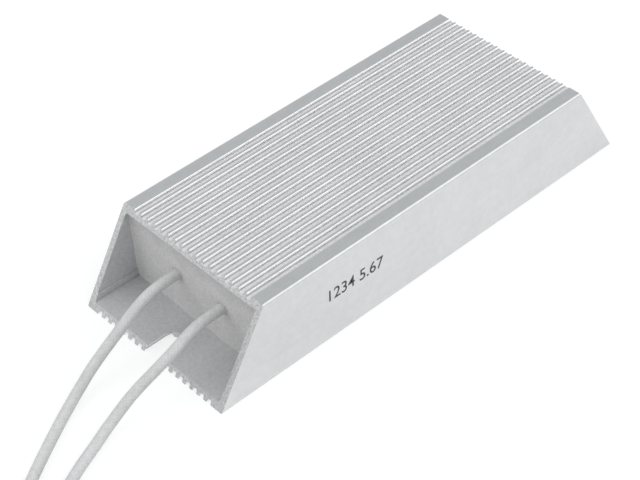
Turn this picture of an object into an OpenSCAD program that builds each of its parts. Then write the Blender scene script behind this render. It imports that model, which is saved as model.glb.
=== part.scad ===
// Aluminium housed power resistor: a ribbed extruded housing with slanted ends, filled with cement round
// two wound elements in series, and two insulated leads out of the near end.
// X runs along the housing, with the leads at -X. Z = 0 is the mounting face.

/* [Housing] */
// Length of the housing along its base
housing_length = 165; // [140:1:220]
// Width of the housing
housing_width = 60; // [58:1:76]
// Height of the housing
housing_height = 30; // [28:1:40]
// How far the top stops short of the base at each slanted end
end_slope = 17.5; // [10:0.5:19]
// Thickness of each side wall
side_wall = 2; // [1.5:0.1:2.6]
// Thickness of the base, ribs included
base_wall = 2.2; // [1.8:0.1:3]
// Thickness of the top, ribs included
top_wall = 2.2; // [1.8:0.1:3]
// Radius along the two upper edges
top_corner_radius = 0.8; // [0.3:0.1:1.5]
// Radius along the two lower edges
base_corner_radius = 0.4; // [0.2:0.1:1]
// Radius along the four edges of the cavity
cavity_corner_radius = 0.8; // [0.3:0.1:1.2]
// How far the foot of each side wall stands into the cavity
foot_step = 0.3; // [0.1:0.05:0.6]
// Height of that foot above the cavity's floor
foot_height = 2.4; // [1.6:0.1:4]

/* [Ribs] */
// Width of the plain band beside the grooves
edge_band = 4.9; // [4:0.1:8]
// Number of grooves in the top and in the base
groove_count = 17; // [9:2:17]
// Width of a groove in the top, between its walls
top_groove_width = 1.85; // [1.5:0.05:2]
// Radius in the corners of a groove in the top
top_groove_corner = 0.4; // [0.1:0.05:0.6]
// Width of a groove in the base, between its walls
base_groove_width = 1.5; // [1.2:0.1:1.7]
// Radius in the corners of a groove in the base
base_groove_corner = 0.6; // [0.1:0.05:0.7]
// Depth of a groove
groove_depth = 1.1; // [1:0.1:1.3]
// Radius along the edges of the ribs
rib_edge_radius = 0.3; // [0.1:0.05:0.35]

/* [Mounting slots] */
// Width of each U-shaped slot in the base
slot_width = 6.5; // [5:0.1:8]
// Distance from the base's end to the middle of the slot's round end
slot_setback = 7.5; // [5:0.5:9.5]

/* [Cement fill] */
// Distance from the base's end to the face of the fill
fill_setback = 17.5; // [15:0.5:25]
// Cover of cement over the caps at the closed end
rear_cover = 12; // [9:0.5:20]

/* [Wound elements] */
// Distance between the axes of the two elements
element_spacing = 19.6; // [18.6:0.1:22]
// Sideways shift of the pair from the middle of the housing
element_shift = -1.8; // [-3:0.1:3]
// Height of the axes above the middle of the cavity
element_rise = 1; // [-1:0.1:1.5]
// Outside diameter of a ceramic former
former_diameter = 14; // [12:0.5:14.5]
// Bore of a ceramic former
former_bore = 8; // [5:0.5:9]
// Diameter of the resistance wire
wire_diameter = 1; // [0.6:0.1:1.2]
// Distance from turn to turn of the winding
turn_pitch = 4.8; // [4:0.1:9]
// Wall of an end cap
cap_wall = 0.8; // [0.5:0.1:1]
// How far an end cap reaches over its former
cap_reach = 6; // [4:0.5:8]
// Diameter of the stud on an end cap
stud_diameter = 1.6; // [1.2:0.1:2]
// Length of the stud on an end cap
stud_length = 5; // [4:0.5:6.5]
// Thickness of the strap that links the two rear caps
link_thickness = 1; // [0.6:0.1:1.5]
// Height of that strap
link_height = 6; // [4:0.5:8]

/* [Lead connections] */
// Diameter of the bare conductor
conductor_diameter = 1.6; // [1.2:0.1:2]
// Length of insulated lead inside the fill
root_length = 8; // [5:0.5:12]
// Length of a crimp sleeve
sleeve_length = 10; // [9:0.5:14]
// Wall of a crimp sleeve
sleeve_wall = 0.6; // [0.4:0.1:0.8]

/* [Leads] */
// Diameter over the insulation
lead_diameter = 3.3; // [3:0.1:3.5]
// Length of bare, tinned conductor at the free end
tip_length = 8; // [5:0.5:9]

/* [Hidden] */

// Smoothness of round parts
$fn = 48;
// Small amount by which a cut runs past a face
overcut = 1;
// Radial clearance between pieces that seat in each other
seat = 0.05;
// Gap left between pieces that stand end to end
end_gap = 0.3;
// Largest share of a groove's width that the radius in one corner may take
corner_share = 0.45;

// Colours
aluminium = [0.83, 0.84, 0.85];
cement = [0.68, 0.68, 0.67];
ceramic = [0.93, 0.92, 0.88];
resistance_alloy = [0.45, 0.43, 0.42];
plated_steel = [0.72, 0.73, 0.75];
tinned_copper = [0.78, 0.77, 0.74];
woven_sleeve = [0.84, 0.84, 0.83];

// Cavity of the housing
cavity_width = housing_width - 2 * side_wall;
cavity_height = housing_height - base_wall - top_wall;
cavity_middle = base_wall + cavity_height / 2;
fill_end = housing_length / 2 - fill_setback;

// Elements: axes, and the stations along X from the face of the fill inwards
element_axis = cavity_middle + element_rise;
root_end = -fill_end + root_length;
sleeve_start = root_end + end_gap;
sleeve_end = sleeve_start + sleeve_length;
front_cap_face = sleeve_end + end_gap;
former_start = front_cap_face + cap_wall;
back_cap_face = fill_end - rear_cover;
former_end = back_cap_face - cap_wall;
cap_radius = former_diameter / 2 + seat + cap_wall;
sleeve_bore = max(stud_diameter, conductor_diameter) / 2 + seat;
sleeve_radius = sleeve_bore + sleeve_wall;
lead_bore = max(lead_diameter / 2, sleeve_radius) + seat;

// Winding: straight stretches between rings, so the wire's centreline stands a little further out
winding_stations = 12;
wire_sides = 6;
winding_radius = (former_diameter / 2 + wire_diameter / 2 + seat) / cos(180 / winding_stations);
winding_start = former_start + cap_reach + wire_diameter / 2 + end_gap;
winding_end = former_end - cap_reach - wire_diameter / 2 - end_gap;
winding_turns = floor((winding_end - winding_start) / turn_pitch);
chamber_radius = max(cap_radius, winding_radius + wire_diameter / 2) + seat;

// Leads: the route of each one's middle, down to the surface that the housing stands on
tube_sides = 8;
lead_radius = lead_diameter / 2;
lay_height = lead_radius;
lead_1_run = [
    [-65, 8, 16], [-70, 8, 16], [-75, 7.9, 15.5], [-80, 7.5, 14.1], [-85, 7, 11.9], [-90, 6.5, 9.4],
    [-95, 6, 6.9], [-100, 5.1, 4.7], [-105, 3.5, 3], [-110, 1.4, 2], [-115, -1.2, 1.7],
    [-120, -4.1, 1.65], [-125, -7.1, 1.65], [-130, -10.2, 1.65], [-136, -14.1, 1.65], [-144.5, -19.7, 1.65]
];
lead_2_run = [
    [-65, -11.6, 16], [-70, -11.6, 16], [-75, -11.9, 15.8], [-80, -12.5, 14.9], [-85, -12.9, 13.2],
    [-90, -12.8, 11.1], [-95, -12.4, 8.7], [-100, -12.3, 6.3], [-105, -12.9, 4.2], [-110, -14, 2.7],
    [-115, -15.7, 1.9], [-120, -17.6, 1.65], [-125, -19.8, 1.65], [-130, -22.3, 1.65], [-136, -25.6, 1.65],
    [-142.4, -29.5, 1.65]
];
// Each coil: its centre, the bearing at which the lead reaches it, the way it turns, and its turns
lead_1_coil = [[-165.5, -10], -56, -1, 1.62];
lead_2_coil = [[-140.6, -52.6], 118, 1, 1.7];
coil_radius = 19.6;
coil_pitch = 3.5;
// After its turns the lead bends in towards the middle of the coil, and is soon clear of the coil's solid
tail_rate = 0.00045;
tail_clear = 79;
tail_angle = 94;
tail_step = 5;

function coil_angle_radius(coil, angle) =
    coil_radius - coil_pitch * angle / 360 - tail_rate * pow(max(0, angle - 360 * coil[3]), 2);
function coil_point(coil, angle) =
    let (
        radius = coil_angle_radius(coil, angle),
        bearing = coil[1] + coil[2] * angle
    )
    [coil[0][0] + radius * cos(bearing), coil[0][1] + radius * sin(bearing), lay_height];
function tail_points(coil) =
    [for (angle = [tail_clear : tail_step : tail_angle]) coil_point(coil, 360 * coil[3] + angle)];

// A round wire swept along a row of points: one ring of corners square to the route at each point. The
// route never runs along the level direction that the rings are turned from.
function unit(v) = v / norm(v);
function heading(points, i) = unit(points[min(i + 1, len(points) - 1)] - points[max(i - 1, 0)]);
function tube_ring(centre, along, level, radius, sides) =
    let (
        across = unit(cross(along, level)),
        upward = cross(across, along)
    )
    [for (k = [0 : sides - 1])
        let (turn = 360 * k / sides)
        centre + radius * (cos(turn) * across + sin(turn) * upward)];

module swept_wire(points, level, radius, sides) {
    last = len(points) - 1;
    corners = [for (i = [0 : last]) each tube_ring(points[i], heading(points, i), level, radius, sides)];
    skin = [for (i = [0 : last - 1], k = [0 : sides - 1])
        let (a = i * sides + k, b = i * sides + (k + 1) % sides)
        each [[a, b, b + sides], [a, b + sides, a + sides]]];
    start_face = [for (k = [sides - 1 : -1 : 0]) k];
    end_face = [for (k = [0 : sides - 1]) last * sides + k];
    polyhedron(corners, concat(skin, [start_face, end_face]), convexity = 10);
}

// A flat outline in Y and Z, drawn out along X between two stations
module drawn_along_x(start, end) {
    translate([start, 0, 0])
        rotate([90, 0, 90])
            linear_extrude(end - start)
                children();
}

// A round bar along X between two stations
module bar_along_x(start, end, radius) {
    translate([start, 0, 0])
        rotate([0, 90, 0])
            cylinder(h = end - start, r = radius);
}

// A rectangle that stands on the middle of its lower edge, with its corners rounded
module soft_rectangle(width, height, upper_radius, lower_radius) {
    translate([-width / 2 + lower_radius, 0])
        square([width - 2 * lower_radius, lower_radius]);
    translate([-width / 2, lower_radius])
        square([width, height - lower_radius - upper_radius]);
    translate([-width / 2 + upper_radius, height - upper_radius])
        square([width - 2 * upper_radius, upper_radius]);
    for (side = [-1, 1]) {
        translate([side * (width / 2 - lower_radius), lower_radius])
            circle(lower_radius);
        translate([side * (width / 2 - upper_radius), height - upper_radius])
            circle(upper_radius);
    }
}

// The outline of the cavity, narrower at the foot of the side walls. What fills it has its corners eased,
// so that only flat faces touch.
module cavity_outline(ease) {
    corner = cavity_corner_radius + ease;
    translate([0, base_wall])
        soft_rectangle(cavity_width - 2 * foot_step, cavity_height - corner, corner, corner);
    translate([0, base_wall + foot_height])
        soft_rectangle(cavity_width, cavity_height - foot_height, corner, foot_step + ease);
}

// One groove, cut down from a surface at height zero, with rounded corners and rounded ribs beside it
module groove_outline(width, corner) {
    bottom = min(corner, corner_share * width);
    translate([-width / 2, bottom - groove_depth])
        square([width, groove_depth - bottom + overcut]);
    translate([bottom - width / 2, -groove_depth])
        square([width - 2 * bottom, bottom]);
    for (side = [-1, 1])
        translate([side * (width / 2 - bottom), bottom - groove_depth])
            circle(bottom);
    difference() {
        translate([-width / 2 - rib_edge_radius, -rib_edge_radius])
            square([width + 2 * rib_edge_radius, rib_edge_radius + overcut]);
        for (side = [-1, 1])
            translate([side * (width / 2 + rib_edge_radius), -rib_edge_radius])
                circle(rib_edge_radius);
    }
}

// A row of grooves across the housing, between its two plain bands
module groove_row(width, corner) {
    span = housing_width - 2 * edge_band - width;
    for (i = [0 : groove_count - 1])
        translate([-span / 2 + span * i / (groove_count - 1), 0])
            groove_outline(width, corner);
}

module housing_outline() {
    difference() {
        soft_rectangle(housing_width, housing_height, top_corner_radius, base_corner_radius);
        cavity_outline(0);
        translate([0, housing_height])
            groove_row(top_groove_width, top_groove_corner);
        mirror([0, 1])
            groove_row(base_groove_width, base_groove_corner);
    }
}

// The side view of the housing: both ends sawn on a slant
module slanted_ends() {
    rotate([90, 0, 0])
        linear_extrude(housing_width + 2 * overcut, center = true)
            polygon([
                [-housing_length / 2, 0],
                [housing_length / 2, 0],
                [housing_length / 2 - end_slope, housing_height],
                [-housing_length / 2 + end_slope, housing_height]
            ]);
}

// The slot at the near end, open towards -X
module mounting_slot() {
    middle = -housing_length / 2 + slot_setback;
    translate([middle, 0, -overcut])
        cylinder(h = base_wall + 2 * overcut, d = slot_width);
    translate([middle - slot_setback - overcut, -slot_width / 2, -overcut])
        cube([slot_setback + overcut, slot_width, base_wall + 2 * overcut]);
}

module housing() {
    color(aluminium)
        difference() {
            intersection() {
                drawn_along_x(-housing_length / 2, housing_length / 2)
                    housing_outline();
                slanted_ends();
            }
            mounting_slot();
            mirror([1, 0, 0])
                mounting_slot();
        }
}

// Places what is drawn on the X axis at the axis of element 1 (+Y side) or 2 (-Y side)
module at_element(number) {
    side = number == 1 ? 1 : -1;
    translate([0, element_shift + side * element_spacing / 2, element_axis])
        children();
}

module cement_fill() {
    color(cement)
        difference() {
            drawn_along_x(-fill_end, fill_end)
                cavity_outline(end_gap);
            for (number = [1, 2])
                at_element(number) {
                    bar_along_x(-fill_end - overcut, front_cap_face, lead_bore);
                    bar_along_x(front_cap_face - seat, back_cap_face, chamber_radius);
                    bar_along_x(back_cap_face, back_cap_face + stud_length + end_gap,
                        stud_diameter / 2 + seat);
                }
            link_space();
        }
}

// The room that the link strap takes in the cement
module link_space() {
    drawn_along_x(back_cap_face - seat, back_cap_face + link_thickness + seat)
        strap_outline(link_height / 2 + seat);
}

// A strap between the two element axes, with round ends
module strap_outline(half_height) {
    translate([element_shift, element_axis]) {
        square([element_spacing, 2 * half_height], center = true);
        for (side = [-1, 1])
            translate([side * element_spacing / 2, 0])
                circle(half_height);
    }
}

module former(number) {
    color(ceramic)
        at_element(number)
            difference() {
                bar_along_x(former_start, former_end, former_diameter / 2);
                bar_along_x(former_start - overcut, former_end + overcut, former_bore / 2);
            }
}

module winding(number) {
    rings = winding_turns * winding_stations;
    helix = [for (i = [0 : rings])
        let (turn = 360 * i / winding_stations)
        [
            (winding_start + winding_end) / 2 + turn_pitch * (i - rings / 2) / winding_stations,
            winding_radius * sin(turn),
            winding_radius * cos(turn)
        ]];
    color(resistance_alloy)
        at_element(number)
            swept_wire(helix, [1, 0, 0], wire_diameter / 2, wire_sides);
}

// A cup over the former's end with a stud on it, drawn for the front end
module end_cap() {
    difference() {
        bar_along_x(front_cap_face, former_start + cap_reach, cap_radius);
        bar_along_x(former_start, former_start + cap_reach + overcut, former_diameter / 2 + seat);
    }
    bar_along_x(front_cap_face - stud_length, front_cap_face, stud_diameter / 2);
}

module cap_front(number) {
    color(plated_steel)
        at_element(number)
            end_cap();
}

module cap_back(number) {
    color(plated_steel)
        at_element(number)
            translate([front_cap_face + back_cap_face, 0, 0])
                mirror([1, 0, 0])
                    end_cap();
}

// The strap that joins the rear caps, threaded over their studs
module series_link() {
    color(plated_steel)
        difference() {
            drawn_along_x(back_cap_face, back_cap_face + link_thickness)
                strap_outline(link_height / 2);
            for (number = [1, 2])
                at_element(number)
                    bar_along_x(back_cap_face - overcut, back_cap_face + link_thickness + overcut,
                        stud_diameter / 2 + seat);
        }
}

module crimp_sleeve(number) {
    color(tinned_copper)
        at_element(number)
            difference() {
                bar_along_x(sleeve_start, sleeve_end, sleeve_radius);
                bar_along_x(sleeve_start - overcut, sleeve_end + overcut, sleeve_bore);
            }
}

// The conductor from the face of the fill into its half of the sleeve
module conductor(number) {
    color(tinned_copper)
        at_element(number)
            bar_along_x(-fill_end, front_cap_face - stud_length - end_gap, conductor_diameter / 2);
}

module lead_root(number) {
    color(woven_sleeve)
        at_element(number)
            difference() {
                bar_along_x(-fill_end, root_end, lead_radius);
                bar_along_x(-fill_end - overcut, root_end + overcut, conductor_diameter / 2 + seat);
            }
}

module lead_run(route) {
    color(woven_sleeve)
        swept_wire(route, [0, 0, 1], lead_radius, tube_sides);
}

// The closed outer shape of a coil's turns
module lead_coil(coil) {
    inner_radius = coil_angle_radius(coil, 360 * coil[3]) - lead_radius;
    outer_radius = coil_radius + lead_radius;
    color(woven_sleeve)
        translate(coil[0])
            rotate_extrude()
                translate([inner_radius, lay_height - lead_radius])
                    square([outer_radius - inner_radius, lead_diameter]);
}

module lead_tail(coil) {
    color(woven_sleeve)
        swept_wire(tail_points(coil), [0, 0, 1], lead_radius, tube_sides);
}

// The bare end of the conductor, in line with the end of the tail
module lead_tip(coil) {
    tail = tail_points(coil);
    last = len(tail) - 1;
    outward = heading(tail, last);
    color(tinned_copper)
        translate(tail[last])
            rotate([0, 90, atan2(outward[1], outward[0])])
                cylinder(h = tip_length, d = conductor_diameter);
}

housing();
cement_fill();
former(1);  // former_1
former(2);  // former_2
winding(1);  // winding_1
winding(2);  // winding_2
cap_front(1);  // cap_front_1
cap_front(2);  // cap_front_2
cap_back(1);  // cap_back_1
cap_back(2);  // cap_back_2
series_link();
crimp_sleeve(1);  // crimp_sleeve_1
crimp_sleeve(2);  // crimp_sleeve_2
conductor(1);  // conductor_1
conductor(2);  // conductor_2
lead_root(1);  // lead_root_1
lead_root(2);  // lead_root_2
lead_run(lead_1_run);  // lead_run_1
lead_run(lead_2_run);  // lead_run_2
lead_coil(lead_1_coil);  // lead_coil_1
lead_coil(lead_2_coil);  // lead_coil_2
lead_tail(lead_1_coil);  // lead_tail_1
lead_tail(lead_2_coil);  // lead_tail_2
lead_tip(lead_1_coil);  // lead_tip_1
lead_tip(lead_2_coil);  // lead_tip_2
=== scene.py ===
"""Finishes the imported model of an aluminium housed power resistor: a ribbed housing, its cement fill,
two woven leads with stranded tips, the wound elements inside, and the studio that they stand in."""

import math
import random

import bpy
import numpy as np
from bpy.props import (
    FloatProperty, FloatVectorProperty, IntProperty, PointerProperty, StringProperty
)
from mathutils import Matrix, Vector, noise


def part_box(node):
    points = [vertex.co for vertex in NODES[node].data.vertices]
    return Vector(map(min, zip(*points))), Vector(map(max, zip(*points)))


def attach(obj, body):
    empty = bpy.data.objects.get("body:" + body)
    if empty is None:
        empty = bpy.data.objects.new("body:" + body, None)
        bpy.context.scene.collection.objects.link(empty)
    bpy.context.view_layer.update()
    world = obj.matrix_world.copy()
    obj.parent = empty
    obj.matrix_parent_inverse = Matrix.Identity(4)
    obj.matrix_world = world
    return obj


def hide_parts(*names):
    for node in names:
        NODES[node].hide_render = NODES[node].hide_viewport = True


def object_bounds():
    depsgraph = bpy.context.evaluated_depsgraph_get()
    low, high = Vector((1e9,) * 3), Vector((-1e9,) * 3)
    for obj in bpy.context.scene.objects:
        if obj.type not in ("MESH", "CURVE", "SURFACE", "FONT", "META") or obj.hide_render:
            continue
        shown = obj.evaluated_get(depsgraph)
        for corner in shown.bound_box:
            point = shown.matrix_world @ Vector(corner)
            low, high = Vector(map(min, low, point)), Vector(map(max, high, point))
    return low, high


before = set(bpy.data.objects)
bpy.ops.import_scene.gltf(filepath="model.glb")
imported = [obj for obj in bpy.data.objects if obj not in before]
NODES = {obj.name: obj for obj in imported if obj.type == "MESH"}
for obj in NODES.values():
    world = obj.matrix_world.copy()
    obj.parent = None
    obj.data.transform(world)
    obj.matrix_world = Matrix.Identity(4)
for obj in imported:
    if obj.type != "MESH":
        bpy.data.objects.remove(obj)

bl_info = {
    "name": "Housed Power Resistor",
    "version": (1, 0, 0),
    "blender": (4, 5, 0),
    "location": "View3D > Sidebar > Resistor",
    "description": "Finishes the surfaces, leads and studio of an aluminium housed power resistor",
    "category": "Object",
}

# One millimetre, in metres
MM = 0.001
CAD_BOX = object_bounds()
BODY = "root"
ELEMENTS = ("1", "2")

# The route of each lead's middle in millimetres, from the face of the fill to where its coil begins
LEAD_RUNS = {
    "1": [
        (-65, 8, 16), (-70, 8, 16), (-75, 7.9, 15.5), (-80, 7.5, 14.1), (-85, 7, 11.9), (-90, 6.5, 9.4),
        (-95, 6, 6.9), (-100, 5.1, 4.7), (-105, 3.5, 3), (-110, 1.4, 2), (-115, -1.2, 1.7),
        (-120, -4.1, 1.65), (-125, -7.1, 1.65), (-130, -10.2, 1.65), (-136, -14.1, 1.65),
        (-144.5, -19.7, 1.65),
    ],
    "2": [
        (-65, -11.6, 16), (-70, -11.6, 16), (-75, -11.9, 15.8), (-80, -12.5, 14.9), (-85, -12.9, 13.2),
        (-90, -12.8, 11.1), (-95, -12.4, 8.7), (-100, -12.3, 6.3), (-105, -12.9, 4.2), (-110, -14, 2.7),
        (-115, -15.7, 1.9), (-120, -17.6, 1.65), (-125, -19.8, 1.65), (-130, -22.3, 1.65),
        (-136, -25.6, 1.65), (-142.4, -29.5, 1.65),
    ],
}
# Each coil: its centre, the bearing at which the lead reaches it, the way it turns, and its turns
LEAD_COILS = {
    "1": ((-165.5, -10), -56, -1, 1.62),
    "2": ((-140.6, -52.6), 118, 1, 1.7),
}
# In millimetres and degrees: the radius at which a coil starts, what it loses in a turn, the most
# that one step along it turns, how fast its tail bends inwards, and how far round that tail goes
COIL_RADIUS = 19.6
COIL_PITCH = 3.5
COIL_STEP = 20
TAIL_RATE = 0.00045
TAIL_ANGLE = 94
# How many points a smooth line has between two given ones, before it is cut into even lengths
FINE_STEPS = 60

# How steeply one yarn of the sleeve goes under the next, and how full a yarn's rounded back is
WEAVE_STEEPNESS = 4.8
YARN_FULLNESS = 0.7

# How far a tip's strands reach out of the sleeve and back into it, and how many lie round the middle
TIP_LENGTH = 8 * MM
TIP_OVERLAP = 1.5 * MM
OUTER_STRANDS = 6
# The rings and sides of a strand's mesh, and the share of its radius that the cutter leaves at its end
TIP_RINGS = 40
STRAND_SIDES = 14
CUT_END = 0.8

# The faces of the fill: how far the block is pressed into its walls, how far from a wall the dish
# comes to its depth, the lip along the walls, how far the face leans, and how high its swells are
FILL_PRESS = 0.4 * MM
DISH_REACH = 5 * MM
LIP_HEIGHT = 0.35 * MM
LIP_REACH = 0.7 * MM
LEAN = 0.35 * MM
SWELL = 0.25 * MM
# Features per metre of the swells, the grain and the finer grain, and how strong the finer grain is
SWELL_DENSITY = 110
GRAIN_DENSITY = 1400
FINE_GRAIN_DENSITY = 3100
FINE_GRAIN_SHARE = 0.6
# The collar of cement round a lead
COLLAR_HEIGHT = 0.5 * MM
COLLAR_RADIUS = 1.6 * MM
COLLAR_REACH = 0.8 * MM
# The smallest and largest radius of a pore in millimetres, and how deep it is for its radius
PORE_RADII = (0.15, 0.42)
PORE_DEPTH = 0.8
# The cement is painted darker near its top, a painted shade under the housing's top, and round each
# lead, a painted shade where the lead leaves the cement. These are the distances from the top, and
# from the middle of a lead, between which that changes, and the darkest tone of each
TOP_PAINTED_SHADE = (9 * MM, 1 * MM)
TOP_PAINTED_SHADE_TONE = 0.84
LEAD_PAINTED_SHADE = (1.7 * MM, 3.2 * MM)
LEAD_PAINTED_SHADE_TONE = 0.78

# The depths and distances from the sides between which the housing's finish, painted light and
# painted shade change: under the skin that holds the grooves, from the upper to the lower part of a
# groove's wall, past the outer and the inner side walls, and past the long edges
SKIN_DEPTHS = (1.5 * MM, 1.7 * MM)
WALL_DEPTHS = (0.55 * MM, 0.7 * MM)
SIDE_WALL = (2 * MM, 2.5 * MM)
INNER_WALL = (1 * MM, 1.2 * MM)
LONG_EDGE = (0.8 * MM, 1 * MM)
# No face is toned lighter than this share of the metal's colour
LIGHTEST_TONE = 1.3

# Scratches per metre on drawn metal, along the part and across it, or the same every way
LONG_SCRATCHES = (150, 2600, 2600)
SHORT_SCRATCHES = 900


# ---------------------------------------------------------------------------------------- properties

class HousingLook(bpy.types.PropertyGroup):
    colour: FloatVectorProperty(
        name="Metal colour", description="Colour of the bare extruded aluminium",
        subtype="COLOR", size=3, min=0, max=1, default=(0.745, 0.75, 0.755))
    roughness: FloatProperty(
        name="Roughness", description="Gloss of the extruded faces",
        subtype="FACTOR", min=0.05, max=1, default=0.36)
    sawn_roughness: FloatProperty(
        name="Sawn roughness", description="Gloss of the sawn end faces",
        subtype="FACTOR", min=0.05, max=1, default=0.5)
    groove_roughness: FloatProperty(
        name="Groove roughness", description="Gloss of the bottoms and walls of the grooves",
        subtype="FACTOR", min=0.05, max=1, default=0.6)
    rib_edge_roughness: FloatProperty(
        name="Rib edge roughness", description="Gloss of the rounded edges of the ribs",
        subtype="FACTOR", min=0.05, max=1, default=0.26)
    inside_roughness: FloatProperty(
        name="Inside roughness", description="Gloss of the inner faces, dulled by cement",
        subtype="FACTOR", min=0.05, max=1, default=0.6)
    streak_width: FloatProperty(
        name="Streak width", description="Width of the fine lines that the extrusion die leaves",
        unit="LENGTH", min=0.0002, max=0.003, default=0.0005)
    streak_depth: FloatProperty(
        name="Streak depth", description="Depth of those lines",
        unit="LENGTH", min=0, max=0.0001, default=0.000012)
    saw_depth: FloatProperty(
        name="Saw mark depth", description="Depth of the marks of the saw on the end faces",
        unit="LENGTH", min=0, max=0.0002, default=0.00003)


class CementLook(bpy.types.PropertyGroup):
    colour: FloatVectorProperty(
        name="Cement colour", description="Colour of the cured cement",
        subtype="COLOR", size=3, min=0, max=1, default=(0.59, 0.58, 0.58))
    grid_step: FloatProperty(
        name="Grid step", description="Distance between the points of the fill's face",
        unit="LENGTH", min=0.0002, max=0.002, default=0.0003)
    dish: FloatProperty(
        name="Dish", description="How far the face sinks between the walls as the cement sets",
        unit="LENGTH", min=0, max=0.002, default=0.0004)
    grain: FloatProperty(
        name="Grain", description="Height of the grain of the face",
        unit="LENGTH", min=0, max=0.0005, default=0.00007)
    pores: IntProperty(
        name="Pores", description="Number of open pores in the face",
        min=0, max=400, default=90)


class LeadLook(bpy.types.PropertyGroup):
    colour: FloatVectorProperty(
        name="Sleeve colour", description="Colour of the woven sleeve",
        subtype="COLOR", size=3, min=0, max=1, default=(0.69, 0.685, 0.685))
    diameter: FloatProperty(
        name="Diameter", description="Diameter over the sleeve",
        unit="LENGTH", min=0.002, max=0.005, default=0.0033)
    ring_step: FloatProperty(
        name="Ring step", description="Distance between the rings of points along a lead",
        unit="LENGTH", min=0.0001, max=0.001, default=0.0002)
    sides: IntProperty(
        name="Sides", description="Points in each ring", min=16, max=64, default=48)
    yarns: IntProperty(
        name="Yarns", description="Yarns that run each way round the sleeve", min=4, max=16, default=8)
    yarn_relief: FloatProperty(
        name="Yarn relief", description="Height of a yarn over the gaps between the yarns",
        unit="LENGTH", min=0, max=0.0003, default=0.00009)
    strand_diameter: FloatProperty(
        name="Strand diameter", description="Diameter of one of the conductor's seven strands",
        unit="LENGTH", min=0.0002, max=0.0008, default=0.000533)
    strand_lay: FloatProperty(
        name="Strand lay", description="Length in which the outer strands turn once round",
        unit="LENGTH", min=0.005, max=0.05, default=0.016)


class MarkLook(bpy.types.PropertyGroup):
    text: StringProperty(
        name="Text", description="Plain numbers printed on the side", default="1234 5.67")
    colour: FloatVectorProperty(
        name="Ink colour", description="Colour of the printing ink",
        subtype="COLOR", size=3, min=0, max=1, default=(0.05, 0.05, 0.055))
    height: FloatProperty(
        name="Height", description="Height of a numeral", unit="LENGTH", min=0.001, max=0.01,
        default=0.00425)
    length: FloatProperty(
        name="Length", description="Length of the line of numbers", unit="LENGTH", min=0.005, max=0.05,
        default=0.02135)
    start: FloatProperty(
        name="Start", description="Where the line of numbers starts along the housing",
        unit="LENGTH", min=-0.08, max=0.08, default=-0.0411)
    base_line: FloatProperty(
        name="Base line", description="Height at which the numerals stand",
        unit="LENGTH", min=0.002, max=0.025, default=0.01475)
    ink_height: FloatProperty(
        name="Ink height", description="How far the ink stands proud of the side",
        unit="LENGTH", min=0.000005, max=0.0001, default=0.00002)


class StudioLook(bpy.types.PropertyGroup):
    camera_place: FloatVectorProperty(
        name="Camera place", description="Where the camera stands",
        subtype="XYZ", unit="LENGTH", size=3, default=(-0.284170, -0.298500, 0.371643))
    bearing: FloatProperty(
        name="Bearing", description="Turn of the camera round the object",
        subtype="ANGLE", default=math.radians(-41.838))
    elevation: FloatProperty(
        name="Elevation", description="Height of the camera over the horizon",
        subtype="ANGLE", default=math.radians(42.6))
    roll: FloatProperty(
        name="Roll", description="Tilt of the camera about its own axis",
        subtype="ANGLE", default=math.radians(-2.066))
    lens: FloatProperty(
        name="Lens", description="Focal length in millimetres", min=20, max=300, default=101.553)
    horizon_level: FloatProperty(
        name="Horizon level", description="Strength of the light from near the horizon",
        min=0, max=2, default=0.93)
    overhead_level: FloatProperty(
        name="Overhead level", description="Strength of the light from overhead",
        min=0, max=2, default=0.54)
    side_box_level: FloatProperty(
        name="Side box level", description="Strength of the wide soft box beside the marked side",
        min=0, max=3, default=1.3)
    side_box_towards: FloatVectorProperty(
        name="Side box direction", description="Where the wide soft box stands, seen from the object",
        subtype="DIRECTION", size=3, default=(0.49, -0.66, 0.52))
    overhead_colour: FloatVectorProperty(
        name="Overhead colour", description="Colour of the light from overhead",
        subtype="COLOR", size=3, min=0, max=1, default=(0.94, 0.985, 1.0))
    lamp_power: FloatProperty(
        name="Lamp power", description="Power of the large soft lamp", unit="POWER",
        min=0, max=500, default=10)
    lamp_size: FloatProperty(
        name="Lamp size", description="Side of the large soft lamp", unit="LENGTH",
        min=0.1, max=3, default=1.6)
    lamp_towards: FloatVectorProperty(
        name="Lamp direction", description="Where the large soft lamp stands, seen from the object",
        subtype="DIRECTION", size=3, default=(-0.6, 0.5, 0.75))
    lamp_distance: FloatProperty(
        name="Lamp distance", description="How far the large soft lamp stands from the object",
        unit="LENGTH", min=0.5, max=5, default=2)
    floor_colour: FloatVectorProperty(
        name="Floor colour", description="Colour of the floor",
        subtype="COLOR", size=3, min=0, max=1, default=(0.9, 0.9, 0.9))
    floor_half: FloatProperty(
        name="Floor half", description="Half the side of the square floor", unit="LENGTH",
        min=0.5, max=10, default=3)
    seen_grey: FloatProperty(
        name="Seen grey", description="Grey of the floor as the camera and reflections see it",
        subtype="FACTOR", min=0, max=1, default=0.4)
    seen_glow: FloatProperty(
        name="Seen glow", description="Light added to that grey, so that the floor looks white",
        min=0, max=1, default=0.66)


# ------------------------------------------------------------------------------------------- helpers

def add_node(tree, kind, inputs=None, **options):
    """A shader node with its options set and its sockets linked or given a value."""
    node = tree.nodes.new(kind)
    for name, value in options.items():
        setattr(node, name, value)
    for name, value in (inputs or {}).items():
        if isinstance(value, bpy.types.NodeSocket):
            tree.links.new(value, node.inputs[name])
        else:
            node.inputs[name].default_value = value
    return node


def math_node(tree, operation, first, second=0.0):
    """The result of one sum on two values or sockets."""
    return add_node(tree, "ShaderNodeMath", {0: first, 1: second}, operation=operation).outputs[0]


def ranged(tree, value, low, high, to_low, to_high, steps="LINEAR"):
    """A value taken from one range to another, and held inside it."""
    return add_node(
        tree, "ShaderNodeMapRange",
        {"Value": value, "From Min": low, "From Max": high, "To Min": to_low, "To Max": to_high},
        interpolation_type=steps).outputs["Result"]


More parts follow.
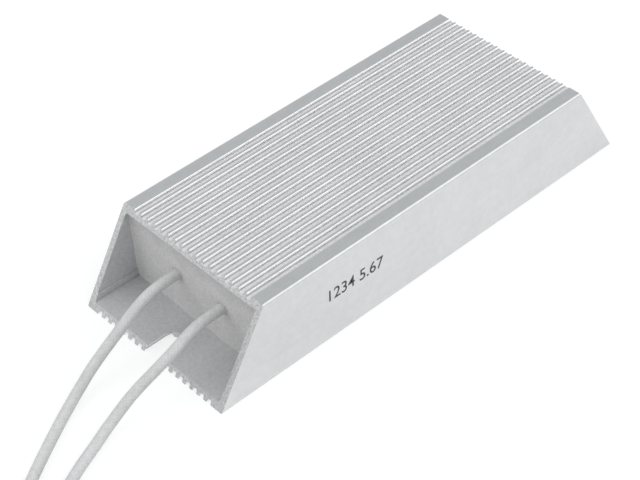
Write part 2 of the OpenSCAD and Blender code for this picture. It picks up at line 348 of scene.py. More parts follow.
def rising(tree, value, start, end):
    """A mask that goes from 0 to 1 between two values."""
    return ranged(tree, value, start, end, 0.0, 1.0)


def fading(tree, value, start, end):
    """A mask that goes from 1 to 0 between two values."""
    return ranged(tree, value, start, end, 1.0, 0.0)


def varied(tree, source, low, high):
    """The middle of a noise's range, spread over a range of tone or gloss."""
    return ranged(tree, source, 0.3, 0.7, low, high)


def chained(tree, operation, *values):
    """One operation carried on over several values or sockets."""
    total = values[0]
    for value in values[1:]:
        total = math_node(tree, operation, total, value)
    return total


def magnitude(tree, value):
    """A value without its sign."""
    return math_node(tree, "ABSOLUTE", value)


def parted(tree, vector):
    """The X, Y and Z of a vector, each as a socket."""
    return add_node(tree, "ShaderNodeSeparateXYZ", {"Vector": vector}).outputs


def grain(tree, place, density, detail=3.0, roughness=0.55):
    """Noise with a number of features per metre along each axis."""
    if isinstance(density, (int, float)):
        density = (density,) * 3
    spread = add_node(tree, "ShaderNodeMapping", {"Vector": place, "Scale": density})
    return add_node(
        tree, "ShaderNodeTexNoise",
        {"Vector": spread.outputs["Vector"], "Scale": 1.0, "Detail": detail, "Roughness": roughness},
    ).outputs["Fac"]


def cells(tree, place, density):
    """How far a place is from the nearest of many scattered points, in the points' usual distance."""
    return add_node(
        tree, "ShaderNodeTexVoronoi", {"Vector": place, "Scale": density}).outputs["Distance"]


def mixed(tree, share, first, second):
    """One value, or another, or something between them."""
    return add_node(
        tree, "ShaderNodeMix", {"Factor": share, "A": first, "B": second}).outputs["Result"]


def tinted(tree, colour, factor):
    """A colour made lighter or darker by a factor."""
    return add_node(
        tree, "ShaderNodeVectorMath", {0: tuple(colour), 3: factor}, operation="SCALE").outputs[0]


def relief(tree, height, depth, under=None):
    """A bump of a given depth in metres, laid over another one."""
    inputs = {"Height": height, "Distance": depth, "Strength": 1.0}
    if under is not None:
        inputs["Normal"] = under
    return add_node(tree, "ShaderNodeBump", inputs).outputs["Normal"]


def new_finish(name, **constants):
    """A material with one principled shader. Its constants are set on the shader's own sockets."""
    material = bpy.data.materials.new(name)
    material.use_nodes = True
    tree = material.node_tree
    tree.nodes.clear()
    surface = add_node(tree, "ShaderNodeBsdfPrincipled", constants)
    add_node(tree, "ShaderNodeOutputMaterial", {"Surface": surface.outputs["BSDF"]})
    return material, tree, surface


def wire_up(tree, surface, **sockets):
    """Links what a finish works out to its shader."""
    for name, socket in sockets.items():
        tree.links.new(socket, surface.inputs[name.replace("_", " ")])


def object_place(tree):
    """Where on the object a finish is worked out."""
    return add_node(tree, "ShaderNodeTexCoord").outputs["Object"]


def dress(name, material):
    """Gives a CAD node its finish."""
    slots = NODES[name].data.materials
    slots.clear()
    slots.append(material)


def settle(name, mesh, material):
    """Makes a piece of a mesh, with one material slot. It rides on the body."""
    mesh.materials.clear()
    mesh.materials.append(material)
    piece = bpy.data.objects.new(name, mesh)
    bpy.context.scene.collection.objects.link(piece)
    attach(piece, BODY)
    return piece


def new_piece(name, points, faces, material):
    """A smoothly shaded piece with the given points and faces."""
    mesh = bpy.data.meshes.new(name)
    mesh.from_pydata([tuple(p) for p in points], [], faces)
    mesh.update()
    mesh.polygons.foreach_set("use_smooth", [True] * len(mesh.polygons))
    return settle(name, mesh, material)


def look(name):
    """One group of the properties that a user can change."""
    return getattr(bpy.context.scene, "resistor_" + name)


# ----------------------------------------------------------------------------------------- finishes

def face_distances(tree, place):
    """How deep a place lies under the housing's top or base, and how far in from its sides."""
    low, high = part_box("housing")
    spot = parted(tree, place)
    off_middle = magnitude(tree, math_node(tree, "SUBTRACT", spot["Z"], (low.z + high.z) / 2))
    depth = math_node(tree, "SUBTRACT", (high.z - low.z) / 2, off_middle)
    return depth, math_node(tree, "SUBTRACT", high.y, magnitude(tree, spot["Y"]))


def groove_masks(tree, depth, inset, upright, lengthwise):
    """Where the grooves' bottoms are, the upper parts of their walls and the lower parts."""
    rolled = chained(
        tree, "MULTIPLY", fading(tree, depth, *SKIN_DEPTHS), rising(tree, inset, *SIDE_WALL),
        fading(tree, lengthwise, 0.3, 0.5))
    sunk = math_node(tree, "MULTIPLY", rolled, rising(tree, depth, *WALL_DEPTHS))
    raised = math_node(tree, "SUBTRACT", rolled, sunk)
    bottoms = math_node(tree, "MULTIPLY", sunk, rising(tree, upright, 0.94, 0.995))
    wall_feet = math_node(tree, "SUBTRACT", sunk, bottoms)
    wall_tops = math_node(tree, "MULTIPLY", raised, fading(tree, upright, 0.5, 0.85))
    return bottoms, wall_tops, wall_feet


def extruded_aluminium(housing):
    """Bare extruded aluminium: lines along the extrusion, soft clouds, and grainy sawn ends."""
    material, tree, surface = new_finish("extruded_aluminium", Metallic=1.0)
    coordinates = add_node(tree, "ShaderNodeTexCoord")
    place = coordinates.outputs["Object"]
    across = 1 / housing.streak_width
    streaks = grain(tree, place, (6, across, across), 4.0, 0.6)
    wide_streaks = grain(tree, place, (3, across / 6, across / 6), 2.0)
    clouds = grain(tree, place, 45)
    mottle = grain(tree, place, 520, 2.0)
    speckle = grain(tree, place, 5200, 2.0)
    nicks = grain(tree, place, 1500, 2.0)
    dust = grain(tree, place, 950)
    saw_lines = grain(tree, place, (1500, 60, 1500), 3.0, 0.6)

    facing = parted(tree, coordinates.outputs["Normal"])
    lengthwise, sideways, upright = (magnitude(tree, facing[axis]) for axis in "XYZ")
    depth, inset = face_distances(tree, place)
    sawn = rising(tree, lengthwise, 0.6, 0.75)
    bottoms, wall_tops, wall_feet = groove_masks(tree, depth, inset, upright, lengthwise)
    outer_side = rising(tree, sideways, 0.2, 0.7)
    inside = math_node(
        tree, "MULTIPLY", rising(tree, depth, *SKIN_DEPTHS), rising(tree, inset, *INNER_WALL))
    rounded = fading(tree, math_node(tree, "MAXIMUM", sideways, upright), 0.9, 0.99)
    inner_corners = math_node(tree, "MULTIPLY", inside, rounded)
    long_edges = math_node(tree, "MULTIPLY", rounded, fading(tree, inset, *LONG_EDGE))

    # The tone is 1 plus or minus what each noise and each kind of face adds. The faces add painted
    # light:
    # lighter groove bottoms and a painted highlight on the rib edges; and painted shade: darker groove
    # wall feet, outer sides, inner faces, inner corners and long edges
    rolled_tone = chained(
        tree, "ADD", varied(tree, streaks, -0.014, 0.014), varied(tree, wide_streaks, -0.012, 0.012),
        varied(tree, mottle, -0.024, 0.024),
        math_node(tree, "MULTIPLY", inside, varied(tree, dust, -0.07, 0.05)))
    # Painted light and painted shade, by kind of face
    painted_light_and_shade = (
        (bottoms, 0.19), (wall_tops, 0.36), (wall_feet, -0.27), (outer_side, -0.085),
        (inside, -0.03), (inner_corners, -0.3), (long_edges, -0.13))
    for mask, change in painted_light_and_shade:
        rolled_tone = math_node(tree, "ADD", rolled_tone, math_node(tree, "MULTIPLY", mask, change))
    sawn_tone = math_node(
        tree, "ADD", varied(tree, speckle, -0.4, -0.12), varied(tree, nicks, -0.16, 0.12))
    tone = math_node(
        tree, "ADD", mixed(tree, sawn, rolled_tone, sawn_tone), varied(tree, clouds, 0.975, 1.02))
    tone = math_node(tree, "MINIMUM", tone, LIGHTEST_TONE)
    # A faint warm tint laid over the painted light on the groove bottoms and rib edges
    painted_light_tint = add_node(
        tree, "ShaderNodeMix",
        {"Factor": math_node(tree, "ADD", bottoms, wall_tops), 6: (1, 1, 1, 1), 7: (1, 0.979, 0.98, 1)},
        data_type="RGBA").outputs[2]
    colour = add_node(
        tree, "ShaderNodeVectorMath", {0: tinted(tree, housing.colour, tone), 1: painted_light_tint},
        operation="MULTIPLY").outputs[0]

    gloss = varied(tree, streaks, housing.roughness - 0.04, housing.roughness + 0.05)
    in_grooves = math_node(tree, "ADD", bottoms, wall_feet)
    for mask, roughness in (
            (inside, housing.inside_roughness), (in_grooves, housing.groove_roughness),
            (wall_tops, housing.rib_edge_roughness), (sawn, housing.sawn_roughness)):
        gloss = mixed(tree, mask, gloss, roughness)

    rolled_height = math_node(tree, "MULTIPLY", streaks, math_node(tree, "SUBTRACT", 1.0, sawn))
    saw_height = math_node(tree, "MULTIPLY", math_node(tree, "ADD", saw_lines, speckle), sawn)
    normal = relief(
        tree, saw_height, housing.saw_depth, relief(tree, rolled_height, housing.streak_depth))
    wire_up(tree, surface, Base_Color=colour, Roughness=gloss, Normal=normal)
    return material


def cured_cement(cement):
    """Dull grey cement with sand and dark grains, with painted shade under the top and round each lead.
    """
    material, tree, surface = new_finish("cured_cement", Roughness=0.9)
    surface.inputs["Specular IOR Level"].default_value = 0.25
    place = object_place(tree)
    sand = grain(tree, place, 3800, 4.0, 0.7)
    patches = grain(tree, place, 220, 4.0)
    gravel = grain(tree, place, 1250, 2.0)
    dark_grains = cells(tree, place, 1500)
    speckled = chained(
        tree, "ADD", ranged(tree, sand, 0.25, 0.75, 0.88, 1.08),
        ranged(tree, gravel, 0.25, 0.75, -0.11, 0.11), varied(tree, patches, -0.04, 0.04))
    tone = math_node(tree, "MULTIPLY", ranged(tree, dark_grains, 0.05, 0.28, 0.84, 1.0), speckled)
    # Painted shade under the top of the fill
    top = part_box("cement_fill")[1].z
    from_top, to_top = (top - distance for distance in TOP_PAINTED_SHADE)
    tone = math_node(tree, "MULTIPLY", tone, ranged(
        tree, parted(tree, place)["Z"], from_top, to_top, 1.0, TOP_PAINTED_SHADE_TONE, "SMOOTHSTEP"))
    # Painted shade round where each lead leaves the cement
    for number in ELEMENTS:
        lead_exit = tuple(value * MM for value in LEAD_RUNS[number][0])
        distance = add_node(
            tree, "ShaderNodeVectorMath", {0: place, 1: lead_exit}, operation="DISTANCE")
        tone = math_node(tree, "MULTIPLY", tone, ranged(
            tree, distance.outputs["Value"], *LEAD_PAINTED_SHADE, LEAD_PAINTED_SHADE_TONE, 1.0, "SMOOTHSTEP"))
    normal = relief(tree, math_node(tree, "ADD", sand, gravel), 0.1 * MM)
    wire_up(tree, surface, Base_Color=tinted(tree, cement.colour, tone), Normal=normal)
    return material


def woven_sleeve(lead):
    """Woven glass yarn with a thin coat: soft, pale, with painted shade in the gaps between the yarns
    and on the undersides.
    """
    material, tree, surface = new_finish("woven_sleeve", Roughness=0.72)
    surface.inputs["Specular IOR Level"].default_value = 0.35
    surface.inputs["Sheen Weight"].default_value = 0.12
    coordinates = add_node(tree, "ShaderNodeTexCoord")
    place = coordinates.outputs["Object"]
    fibres = grain(tree, place, 5200, 3.0, 0.65)
    soil = grain(tree, place, 160)
    fluff = grain(tree, place, 900, 2.0)
    weave = add_node(tree, "ShaderNodeAttribute", attribute_name="weave").outputs["Fac"]
    upward = parted(tree, coordinates.outputs["Normal"])["Z"]
    # The leads are painted darker from below: a painted shade on their undersides
    painted_underside_shade = ranged(tree, upward, 0.15, 1.0, 0.78, 0.96)
    mottled = chained(
        tree, "ADD", varied(tree, fibres, 0.94, 1.04), varied(tree, fluff, -0.07, 0.05),
        varied(tree, soil, -0.05, 0.03))
    # Painted shade in the gaps between the yarns, where the weave is low
    tone = chained(tree, "MULTIPLY", painted_underside_shade, ranged(tree, weave, 0.0, 0.8, 0.86, 1.02), mottled)
    wire_up(
        tree, surface, Base_Color=tinted(tree, lead.colour, tone),
        Normal=relief(tree, fibres, 0.03 * MM))
    return material


def embedded_sleeve(lead):
    """The same sleeve inside the cement, with its weave drawn by two sets of diagonal waves and painted
    shade in its gaps.
    """
    material, tree, surface = new_finish("embedded_sleeve", Roughness=0.75)
    place = object_place(tree)
    fibres = grain(tree, place, 5200, 3.0, 0.65)
    waves = []
    for turn in (math.pi / 4, -math.pi / 4):
        turned = add_node(tree, "ShaderNodeMapping", {"Vector": place, "Rotation": (0, 0, turn)})
        waves.append(add_node(
            tree, "ShaderNodeTexWave",
            {"Vector": turned.outputs["Vector"], "Scale": 240.0, "Distortion": 1.0},
            bands_direction="X").outputs["Fac"])
    weave = math_node(tree, "MAXIMUM", *waves)
    # Painted shade in the gaps between the yarns, where the waves are low
    tone = math_node(
        tree, "MULTIPLY", ranged(tree, weave, 0.2, 1.0, 0.88, 1.0), varied(tree, fibres, 0.94, 1.03))
    wire_up(
        tree, surface, Base_Color=tinted(tree, lead.colour, tone),
        Normal=relief(tree, weave, 0.08 * MM))
    return material


def drawn_metal(name, colour, roughness, density):
    """Metal with fine scratches, as many per metre as its density says, and a faint change of tone."""
    material, tree, surface = new_finish(name, Metallic=1.0)
    place = object_place(tree)
    scratches = grain(tree, place, density, 4.0, 0.6)
    clouds = grain(tree, place, 300)
    tone = math_node(tree, "ADD", varied(tree, scratches, -0.05, 0.05), varied(tree, clouds, 0.93, 1.05))
    wire_up(
        tree, surface, Base_Color=tinted(tree, colour, tone),
        Roughness=varied(tree, clouds, roughness - 0.06, roughness + 0.08),
        Normal=relief(tree, scratches, 0.01 * MM))
    return material


def fired_ceramic():
    """Pale fired ceramic with a fine matt grain and a few iron specks."""
    material, tree, surface = new_finish("fired_ceramic", Roughness=0.62)
    place = object_place(tree)
    body = grain(tree, place, 900, 4.0)
    specks = cells(tree, place, 420)
    tone = math_node(
        tree, "MULTIPLY", varied(tree, body, 0.95, 1.03), ranged(tree, specks, 0.04, 0.1, 0.7, 1.0))
    wire_up(
        tree, surface, Base_Color=tinted(tree, (0.85, 0.83, 0.78), tone),
        Normal=relief(tree, body, 0.02 * MM))
    return material


def printing_ink(mark):
    """Dark ink, a little uneven where the pad left it thin."""
    material, tree, surface = new_finish("printing_ink")
    cover = grain(tree, object_place(tree), 2600)
    tone = ranged(tree, cover, 0.35, 0.75, 0.6, 1.3)
    wire_up(
        tree, surface, Base_Color=tinted(tree, mark.colour, tone),
        Roughness=varied(tree, cover, 0.5, 0.65))
    return material


def studio_floor(studio):
    """A matt floor that keeps the shadow, and looks white to the camera and in reflections."""
    material = bpy.data.materials.new("studio_floor")
    material.use_nodes = True
    tree = material.node_tree
    tree.nodes.clear()
    rays = add_node(tree, "ShaderNodeLightPath")
    seen = math_node(
        tree, "MAXIMUM", rays.outputs["Is Camera Ray"],
        math_node(tree, "MAXIMUM", rays.outputs["Is Glossy Ray"], rays.outputs["Is Transmission Ray"]))
    plain = add_node(tree, "ShaderNodeBsdfDiffuse", {"Color": (*studio.floor_colour, 1)})
    grey = add_node(tree, "ShaderNodeBsdfDiffuse", {"Color": (*(studio.seen_grey,) * 3, 1)})
    glow = add_node(tree, "ShaderNodeEmission", {"Color": (1, 1, 1, 1), "Strength": studio.seen_glow})
    white = add_node(tree, "ShaderNodeAddShader", {0: grey.outputs[0], 1: glow.outputs[0]})
    cover = add_node(
        tree, "ShaderNodeMixShader", {0: seen, 1: plain.outputs[0], 2: white.outputs[0]})
    add_node(tree, "ShaderNodeOutputMaterial", {"Surface": cover.outputs[0]})
    return material


# -------------------------------------------------------------------------------------- the studio

def camera_axes(studio):
    """The camera's own axes, as the columns of a turn."""
    bearing, elevation, roll = studio.bearing, studio.elevation, studio.roll
    level = math.cos(elevation)
    back = Vector((math.sin(bearing) * level, -math.cos(bearing) * level, math.sin(elevation)))
    right = Vector((math.cos(bearing), math.sin(bearing), 0))
    up = back.cross(right)
    across = right * math.cos(roll) + up * math.sin(roll)
    upward = up * math.cos(roll) - right * math.sin(roll)
    return Matrix((across, upward, back)).transposed()


def make_camera(studio):
    data = bpy.data.cameras.new("camera")
    data.lens = studio.lens
    data.sensor_width = 36
    data.clip_start = 0.01
    data.clip_end = 20
    camera = bpy.data.objects.new("camera", data)
    camera.matrix_world = Matrix.Translation(studio.camera_place) @ camera_axes(studio).to_4x4()
    bpy.context.scene.collection.objects.link(camera)
    bpy.context.scene.camera = camera


def make_world(studio):
    """Light that is even round the horizon, weaker and cooler overhead, with a wide soft box."""
    world = bpy.data.worlds.new("studio_world")
    world.use_nodes = True
    tree = world.node_tree
    tree.nodes.clear()
    direction = add_node(tree, "ShaderNodeTexCoord").outputs["Generated"]
    height = parted(tree, direction)["Z"]
    climb = ranged(tree, height, 0.15, 0.6, 0.0, 1.0, "SMOOTHSTEP")
    overhead = tuple(c * studio.overhead_level for c in studio.overhead_colour)
    sky = add_node(
        tree, "ShaderNodeMix",
        {"Factor": climb, 6: (*(studio.horizon_level,) * 3, 1), 7: (*overhead, 1)}, data_type="RGBA")
    # The box is full out to 22 degrees from its middle, and fades away up to 58
    side_box = ranged(
        tree, towards(tree, direction, studio.side_box_towards), math.cos(math.radians(58)),
        math.cos(math.radians(22)), 0.0, studio.side_box_level, "SMOOTHSTEP")
    side_box = math_node(
        tree, "MULTIPLY", side_box, ranged(tree, height, 0.22, 0.48, 0.0, 1.0, "SMOOTHSTEP"))
    light = add_node(
        tree, "ShaderNodeVectorMath", {0: sky.outputs[2], 1: side_box}, operation="ADD").outputs[0]
    lit = add_node(tree, "ShaderNodeBackground", {"Color": light, "Strength": 1.0})
    add_node(tree, "ShaderNodeOutputWorld", {"Surface": lit.outputs[0]})
    bpy.context.scene.world = world


def towards(tree, direction, aim):
    """How nearly a direction points to an aim: 1 straight at it, 0 square to it."""
    return add_node(
        tree, "ShaderNodeVectorMath", {0: direction, 1: Vector(aim).normalized()},
        operation="DOT_PRODUCT").outputs["Value"]


def make_lamp(studio):
    """A large soft square lamp that shines on the object from one direction."""
    data = bpy.data.lights.new("key_lamp", "AREA")
    data.shape = "SQUARE"
    data.size = studio.lamp_size
    data.energy = studio.lamp_power
    lamp = bpy.data.objects.new("key_lamp", data)
    direction = Vector(studio.lamp_towards).normalized()
    lamp.location = direction * studio.lamp_distance
    lamp.rotation_euler = direction.to_track_quat("Z", "Y").to_euler()
    bpy.context.scene.collection.objects.link(lamp)


def make_floor(studio):
    half = studio.floor_half
    # A hair below the object, so that their faces never share a plane
    level = CAD_BOX[0].z - 0.02 * MM
    corners = [(-half, -half, level), (half, -half, level), (half, half, level), (-half, half, level)]
    mesh = bpy.data.meshes.new("floor")
    mesh.from_pydata(corners, [], [(0, 1, 2, 3)])
    mesh.materials.append(studio_floor(studio))
    floor = bpy.data.objects.new("floor", mesh)
    bpy.context.scene.collection.objects.link(floor)


# ---------------------------------------------------------------------------------------- the leads

def coil_points(number):
    """The middle of the coiled stretch and its tail, in millimetres."""
    centre, start, hand, turns = LEAD_COILS[number]
    full = 360 * turns
    steps = math.ceil((full + TAIL_ANGLE) / COIL_STEP)
    for i in range(steps + 1):
        angle = (full + TAIL_ANGLE) * i / steps
        radius = COIL_RADIUS - COIL_PITCH * angle / 360 - TAIL_RATE * max(0, angle - full) ** 2
        bearing = math.radians(start + hand * angle)
        yield (centre[0] + radius * math.cos(bearing), centre[1] + radius * math.sin(bearing),
               LEAD_RUNS[number][-1][2])


def smooth_line(points, step):
    """A smooth line through points, cut into even lengths, and its whole length."""
    points = np.array(points, float)
    gaps = np.linalg.norm(np.diff(points, axis=0), axis=1)
    places = np.concatenate([[0], np.cumsum(gaps)])
    slopes = np.gradient(points, places, axis=0)
    slopes[0] = (points[1] - points[0]) / gaps[0]
    t = np.linspace(0, 1, FINE_STEPS, endpoint=False)[:, None]
    fine = []
    for i, gap in enumerate(gaps):
        fine.append(
            (2 * t**3 - 3 * t**2 + 1) * points[i] + (t**3 - 2 * t**2 + t) * gap * slopes[i]
            + (3 * t**2 - 2 * t**3) * points[i + 1] + (t**3 - t**2) * gap * slopes[i + 1])
    fine = np.concatenate([*fine, points[-1:]])
    run = np.concatenate([[0], np.cumsum(np.linalg.norm(np.diff(fine, axis=0), axis=1))])
    stations = np.linspace(0, run[-1], round(run[-1] / step) + 1)
    return np.stack([np.interp(stations, run, fine[:, k]) for k in range(3)], axis=1), run[-1]


def ring_frames(line):
    """The heading at each point of a line, and two directions square to it."""
    along = np.gradient(line, axis=0)
    along /= np.linalg.norm(along, axis=1)[:, None]
    across = np.cross(along, (0.0, 0.0, 1.0))
    across /= np.linalg.norm(across, axis=1)[:, None]
    return along, across, np.cross(across, along)


def tube_faces(rings, sides, first=0):
    """The skin of a tube of rings, closed at both ends."""
    faces = [
        (first + i * sides + k, first + i * sides + (k + 1) % sides,
         first + (i + 1) * sides + (k + 1) % sides, first + (i + 1) * sides + k)
        for i in range(rings - 1) for k in range(sides)]
    faces.append(tuple(first + k for k in reversed(range(sides))))
    faces.append(tuple(first + (rings - 1) * sides + k for k in range(sides)))
    return faces


def weave_height(turn, distance, yarns, lay):
    """How high the surface of the woven sleeve stands, from 0 in a gap to 1 on a yarn."""
    one = turn * yarns + distance / lay * yarns
    other = turn * yarns - distance / lay * yarns
    on_top = 0.5 + 0.5 * np.tanh(WEAVE_STEEPNESS * np.cos(math.pi * one) * np.cos(math.pi * other))
    crown_one = np.abs(np.sin(math.pi * one)) ** YARN_FULLNESS
    crown_other = np.abs(np.sin(math.pi * other)) ** YARN_FULLNESS
    return on_top * crown_one + (1 - on_top) * crown_other


def make_lead(number, lead, material):
    """A woven sleeve along its route, with the yarns raised in its skin.

    Gives the piece, its middle line, its length and its heading at the far end."""
    route = np.array(LEAD_RUNS[number] + list(coil_points(number))) * MM
    line, length = smooth_line(route, lead.ring_step)
    radius = lead.diameter / 2
    line[:, 2] = np.maximum(line[:, 2], radius)
    along, across, upward = ring_frames(line)
    sides = lead.sides
    turn = np.arange(sides)[None, :] / sides
    distance = np.linspace(0, length, len(line))[:, None]
    lay = math.pi * lead.diameter
    height = weave_height(turn, distance, lead.yarns, lay)
    reach = radius - lead.yarn_relief * (1 - height)
    angle = 2 * math.pi * turn
    points = (line[:, None, :] + (reach * np.cos(angle))[..., None] * across[:, None, :]
              + (reach * np.sin(angle))[..., None] * upward[:, None, :])
    piece = new_piece(
        f"lead_{number}", points.reshape(-1, 3), tube_faces(len(line), sides), material)
    weave = piece.data.attributes.new("weave", "FLOAT", "POINT")
    weave.data.foreach_set("value", height.reshape(-1).astype(np.float32))
    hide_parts(*(f"lead_{part}_{number}" for part in ("run", "coil", "tail")))
    return piece, line, length, along[-1]


def make_tip(number, lead, end, heading, material):
    """The bare end of the conductor: six tinned strands laid round a seventh, cut square."""
    strand = lead.strand_diameter / 2
    across = np.cross(heading, (0.0, 0.0, 1.0))
    upward = np.cross(across, heading)
    points, faces = [], []
    for member in range(OUTER_STRANDS + 1):
        offset = 0 if member == OUTER_STRANDS else 2 * strand
        first = len(points)
        for i in range(TIP_RINGS):
            distance = -TIP_OVERLAP + (TIP_OVERLAP + TIP_LENGTH) * i / (TIP_RINGS - 1)
            turn = 2 * math.pi * (member / OUTER_STRANDS + distance / lead.strand_lay)
            middle = end + heading * distance + offset * (
                math.cos(turn) * across + math.sin(turn) * upward)
            # The cutter leaves the ends of the strands slightly rounded
            radius = strand * (CUT_END if i == TIP_RINGS - 1 else 1.0)
            for k in range(STRAND_SIDES):
                angle = 2 * math.pi * k / STRAND_SIDES
                points.append(middle + radius * (math.cos(angle) * across + math.sin(angle) * upward))
        faces += tube_faces(TIP_RINGS, STRAND_SIDES, first)
    piece = new_piece(f"tip_{number}", points, faces, material)
    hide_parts(f"lead_tip_{number}")
    return piece


# --------------------------------------------------------------------------------------- the cement

def make_fill(cement, material):
    """The block of cement, with a grainy, dished face at each end. Both rise where the leads lie."""
    low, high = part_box("cement_fill")
    y_low, y_high = low.y - FILL_PRESS, high.y + FILL_PRESS
    z_low, z_high = low.z - FILL_PRESS, high.z + FILL_PRESS
    columns = round((y_high - y_low) / cement.grid_step)
    rows = round((z_high - z_low) / cement.grid_step)
    ys = np.linspace(y_low, y_high, columns + 1)
    zs = np.linspace(z_low, z_high, rows + 1)
    leads = [(LEAD_RUNS[number][0][1] * MM, LEAD_RUNS[number][0][2] * MM) for number in ELEMENTS]
    chance = random.Random(7)
    pores = [
        (chance.uniform(y_low, y_high), chance.uniform(z_low, z_high), chance.uniform(*PORE_RADII) * MM)
        for _ in range(cement.pores)]

    def rise(y, z, seed):
        """How far the face stands out from its plane at one place."""
        wall = min(y - y_low, y_high - y, z - z_low, z_high - z)
        bowl = -cement.dish * (1 - math.exp(-wall / DISH_REACH))
        lip = LIP_HEIGHT * math.exp(-wall / LIP_REACH)
        lean = LEAN * (2 * (z - z_low) / (z_high - z_low) - 1)
        spot = Vector((y, z, seed))
        swell = SWELL * noise.noise(spot * SWELL_DENSITY)
        rough = cement.grain * (
            noise.noise(spot * GRAIN_DENSITY)
            + FINE_GRAIN_SHARE * noise.noise(spot * FINE_GRAIN_DENSITY))
        collar = sum(
            COLLAR_HEIGHT * math.exp(
                -max(0.0, math.hypot(y - lead_y, z - lead_z) - COLLAR_RADIUS) / COLLAR_REACH)
            for lead_y, lead_z in leads)
        pits = sum(
            -PORE_DEPTH * r * max(0.0, 1 - ((y - py) ** 2 + (z - pz) ** 2) / r**2) ** 0.5
            for py, pz, r in pores if abs(y - py) < r and abs(z - pz) < r)
        return bowl + lip + lean + swell + rough + collar + pits

    points = [
        (x + outward * rise(y, z, seed), y, z)
        for x, outward, seed in ((low.x, -1, 0.0), (high.x, 1, 5.0)) for z in zs for y in ys]
    faces = []
    width = columns + 1
    back = width * (rows + 1)
    for j in range(rows):
        for i in range(columns):
            a = j * width + i
            faces.append((a, a + width, a + width + 1, a + 1))
            faces.append((back + a, back + a + 1, back + a + width + 1, back + a + width))
    for i in range(columns):
        top = rows * width + i
        faces.append((i, i + 1, back + i + 1, back + i))
        faces.append((top + 1, top, back + top, back + top + 1))
    for j in range(rows):
        left, right = j * width, j * width + columns
        faces.append((left + width, left, back + left, back + left + width))
        faces.append((right, right + width, back + right + width, back + right))
    piece = new_piece("cement_block", points, faces, material)
    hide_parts("cement_fill")


# ------------------------------------------------------------------------------------------ the mark

def make_mark(mark, material):
    """The printed line of numbers, as a thin layer of ink on the side."""
    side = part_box("housing")[0].y
    data = bpy.data.curves.new("printed_numbers", "FONT")
    data.body = mark.text
    # The numerals are fitted to their box further down, so any thickness does here
    data.extrude = 0.5
    # A little heavier than the plain typeface
    data.offset = 0.006
    writing = bpy.data.objects.new("printed_numbers", data)
    bpy.context.scene.collection.objects.link(writing)
    bpy.context.view_layer.update()
    mesh = bpy.data.meshes.new_from_object(writing.evaluated_get(bpy.context.evaluated_depsgraph_get()))
    bpy.data.objects.remove(writing)
    points = np.array([v.co[:] for v in mesh.vertices])
    low, high = points.min(0), points.max(0)
    share = (points - low) / (high - low)
    placed = np.stack([
        mark.start + share[:, 0] * mark.length,
        side - mark.ink_height + (1 - share[:, 2]) * 2 * mark.ink_height,
        mark.base_line + share[:, 1] * mark.height], axis=1)
    mesh.vertices.foreach_set("co", placed.reshape(-1))
    mesh.update()
    settle("printed_numbers", mesh, material)


# ---------------------------------------------------------------------------------------- operators

class RESISTOR_OT_stage(bpy.types.Operator):
    """Sets up the camera, the pale floor and the soft light"""
    bl_idname = "resistor.stage"
    bl_label = "Set Up Studio"

    def execute(self, context):
        studio = look("studio")
        context.scene.view_settings.view_transform = "Standard"
        make_camera(studio)
        make_world(studio)
        make_lamp(studio)
        make_floor(studio)
        return {"FINISHED"}


class RESISTOR_OT_leads(bpy.types.Operator):
    """Lays the two woven leads along their routes and strips their ends"""
    bl_idname = "resistor.leads"
    bl_label = "Lay Leads"

    def execute(self, context):
        lead = look("lead")
        sleeve = woven_sleeve(lead)
        tinned = drawn_metal("tinned_strand", (0.70, 0.69, 0.66), 0.34, SHORT_SCRATCHES)
        for number in ELEMENTS:
            piece, line, length, heading = make_lead(number, lead, sleeve)
            tip = make_tip(number, lead, line[-1], heading, tinned)
        return {"FINISHED"}


class RESISTOR_OT_housing(bpy.types.Operator):
    """Finishes the extruded housing"""
    bl_idname = "resistor.housing"
    bl_label = "Finish Housing"

    def execute(self, context):
        dress("housing", extruded_aluminium(look("housing")))
        return {"FINISHED"}


class RESISTOR_OT_cement(bpy.types.Operator):
    """Pours the cement and gives its faces their grain"""
    bl_idname = "resistor.cement"
    bl_label = "Pour Cement"

    def execute(self, context):
        cement = look("cement")
        make_fill(cement, cured_cement(cement))
        return {"FINISHED"}


class RESISTOR_OT_marking(bpy.types.Operator):
    """Prints the plain numbers on the side"""
    bl_idname = "resistor.marking"
    bl_label = "Print Numbers"

    def execute(self, context):
        mark = look("mark")
        make_mark(mark, printing_ink(mark))
        return {"FINISHED"}


class RESISTOR_OT_elements(bpy.types.Operator):
    """Finishes the ceramic formers and the wire wound on them"""
    bl_idname = "resistor.elements"
    bl_label = "Finish Elements"

    def execute(self, context):
        ceramic = fired_ceramic()
        alloy = drawn_metal("resistance_alloy", (0.42, 0.40, 0.38), 0.42, SHORT_SCRATCHES)
        for number in ELEMENTS:
            dress(f"former_{number}", ceramic)
            dress(f"winding_{number}", alloy)
        return {"FINISHED"}


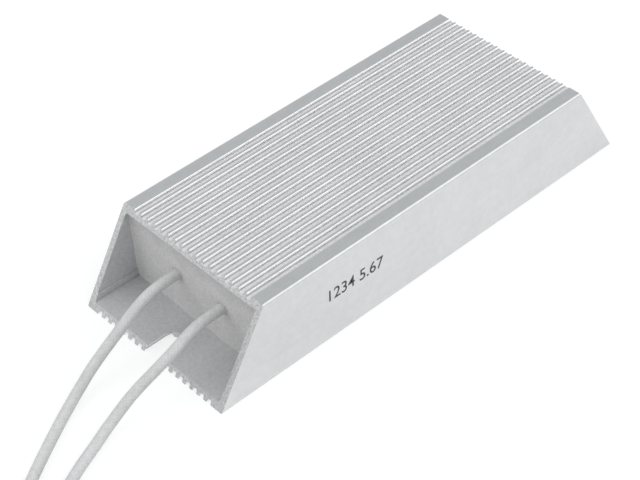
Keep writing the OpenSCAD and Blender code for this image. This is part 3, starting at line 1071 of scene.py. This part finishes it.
class RESISTOR_OT_connections(bpy.types.Operator):
    """Finishes the caps, the link, the crimp sleeves, the conductors and the embedded sleeves"""
    bl_idname = "resistor.connections"
    bl_label = "Finish Connections"

    def execute(self, context):
        steel = drawn_metal("plated_steel", (0.62, 0.62, 0.63), 0.32, LONG_SCRATCHES)
        tinned = drawn_metal("tinned_copper", (0.68, 0.67, 0.64), 0.36, LONG_SCRATCHES)
        sleeve = embedded_sleeve(look("lead"))
        dress("series_link", steel)
        for number in ELEMENTS:
            dress(f"cap_front_{number}", steel)
            dress(f"cap_back_{number}", steel)
            dress(f"crimp_sleeve_{number}", tinned)
            dress(f"conductor_{number}", tinned)
            dress(f"lead_root_{number}", sleeve)
        return {"FINISHED"}


OPERATORS = (
    RESISTOR_OT_stage, RESISTOR_OT_leads, RESISTOR_OT_housing, RESISTOR_OT_cement,
    RESISTOR_OT_marking, RESISTOR_OT_elements, RESISTOR_OT_connections,
)
LOOKS = {
    "housing": HousingLook, "cement": CementLook, "lead": LeadLook, "mark": MarkLook,
    "studio": StudioLook,
}


class RESISTOR_PT_panel(bpy.types.Panel):
    """Lists the pieces and the sizes and colours that they take"""
    bl_idname = "RESISTOR_PT_panel"
    bl_label = "Housed Power Resistor"
    bl_space_type = "VIEW_3D"
    bl_region_type = "UI"
    bl_category = "Resistor"

    def draw(self, context):
        for operator in OPERATORS:
            self.layout.operator(operator.bl_idname)
        for name, group in LOOKS.items():
            box = self.layout.box()
            box.label(text=name.capitalize())
            for field in group.__annotations__:
                box.prop(look(name), field)


def register():
    for name, group in LOOKS.items():
        bpy.utils.register_class(group)
        setattr(bpy.types.Scene, "resistor_" + name, PointerProperty(type=group))
    for shown in (*OPERATORS, RESISTOR_PT_panel):
        bpy.utils.register_class(shown)


def unregister():
    for shown in reversed((*OPERATORS, RESISTOR_PT_panel)):
        bpy.utils.unregister_class(shown)
    for name, group in LOOKS.items():
        delattr(bpy.types.Scene, "resistor_" + name)
        bpy.utils.unregister_class(group)


def main():
    register()
    for operator in OPERATORS:
        category, name = operator.bl_idname.split(".")
        getattr(getattr(bpy.ops, category), name)()


if __name__ == "__main__":
    main()
